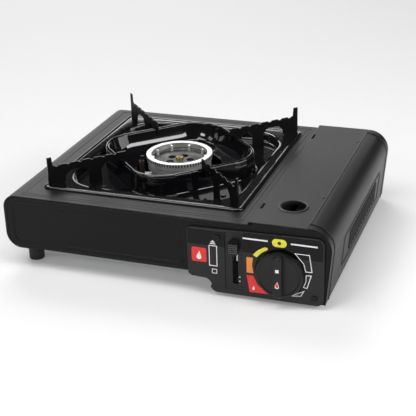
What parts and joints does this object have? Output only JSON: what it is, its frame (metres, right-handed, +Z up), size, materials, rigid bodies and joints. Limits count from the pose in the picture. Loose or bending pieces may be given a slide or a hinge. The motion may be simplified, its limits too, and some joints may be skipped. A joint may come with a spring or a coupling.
{
  "type": "camping stove",
  "caption": "Portable single-burner camping gas stove: black sheet case, enamelled drip pan with four pot supports, hinged cartridge lid, control knob and locking lever.",
  "frame": {"origin": "centre of the whole outline, on the table", "axes": "+X to the cartridge bay, -Y to the controls, +Z up"},
  "size_m": [0.34, 0.285, 0.111],
  "materials": {
    "painted_black": "satin powder coat",
    "enamel_black": "gloss enamel",
    "zinc_steel": "zinc plated",
    "panel_plastic": "semi-gloss",
    "knob_plastic": "satin",
    "rubber_black": "matte",
    "cast_aluminium": "die cast, machined ring",
    "brass": "turned",
    "ceramic_brown": "glazed",
    "lead_red": "satin"
  },
  "bodies": {
    "case": {"body_shell": "painted_black", "base_plate": "zinc_steel", "front_plate": "painted_black", "rear_plate": "painted_black", "bay_partition": "zinc_steel", "control_panel": "panel_plastic", "panel_screws": "painted_black", "case_screws": "zinc_steel", "partition_rivets": "zinc_steel", "foot_front_left": "rubber_black", "foot_rear_left": "rubber_black", "foot_front_right": "rubber_black", "foot_rear_right": "rubber_black", "foot_screws": "zinc_steel", "cartridge_cradle": "zinc_steel", "regulator_body": "cast_aluminium", "regulator_cap": "zinc_steel", "regulator_cap_screws": "zinc_steel", "regulator_bracket": "zinc_steel", "regulator_screws": "zinc_steel", "cartridge_socket": "zinc_steel", "socket_seal": "rubber_black", "gas_tube": "brass", "jet_nozzle": "brass", "jet_bracket": "zinc_steel", "mixing_tube": "cast_aluminium", "burner_base": "cast_aluminium", "burner_head": "cast_aluminium", "burner_cap_screw": "brass", "burner_bracket": "zinc_steel", "burner_screws": "zinc_steel", "electrode": "zinc_steel", "electrode_insulator": "ceramic_brown", "electrode_bracket": "zinc_steel", "igniter_wire": "lead_red", "piezo_igniter": "knob_plastic", "lever_guide": "zinc_steel", "rod_guides": "zinc_steel", "hinge_bracket_front": "painted_black", "hinge_bracket_rear": "painted_black", "hinge_pin_front": "zinc_steel", "hinge_pin_rear": "zinc_steel"},
    "pan": {"drip_pan": "enamel_black", "pot_support_front_left": "enamel_black", "pot_support_front_right": "enamel_black", "pot_support_rear_left": "enamel_black", "pot_support_rear_right": "enamel_black", "support_rivets": "enamel_black"},
    "lid": {"lid": "painted_black", "lid_catch": "zinc_steel"},
    "knob": {"knob": "knob_plastic", "valve_spindle": "brass"},
    "lever": {"lever_handle": "knob_plastic", "cam_plate": "zinc_steel"},
    "carriage": {"push_rod": "zinc_steel", "cam_pin": "zinc_steel", "pusher_plate": "zinc_steel"}
  },
  "joints": [
    {"name": "lid_hinge", "type": "hinge", "parent": "case", "child": "lid", "pos_m": [0.0909, 0.007, 0.0805], "axis": [0, -1, 0], "range_deg": [0, 95]},
    {"name": "knob_turn", "type": "hinge", "parent": "case", "child": "knob", "pos_m": [0.1215, -0.1285, 0.0335], "axis": [0, -1, 0], "range_deg": [0, 145]},
    {"name": "lever_slide", "type": "slide", "parent": "case", "child": "lever", "axis": [0, 0, -1], "range_m": [0, 0.03], "stiffness_N_per_m": 60, "springref_m": -0.02},
    {"name": "carriage_slide", "type": "slide", "parent": "case", "child": "carriage", "axis": [0, -1, 0], "range_m": [0, 0.008]},
    {"name": "pan_lift", "type": "slide", "parent": "case", "child": "pan", "axis": [0, 0, 1], "range_m": [0, 0.06]}
  ],
  "couplings": [
    {"joint": "carriage_slide", "follows": "lever_slide", "ratio": 0.2666}
  ]
}
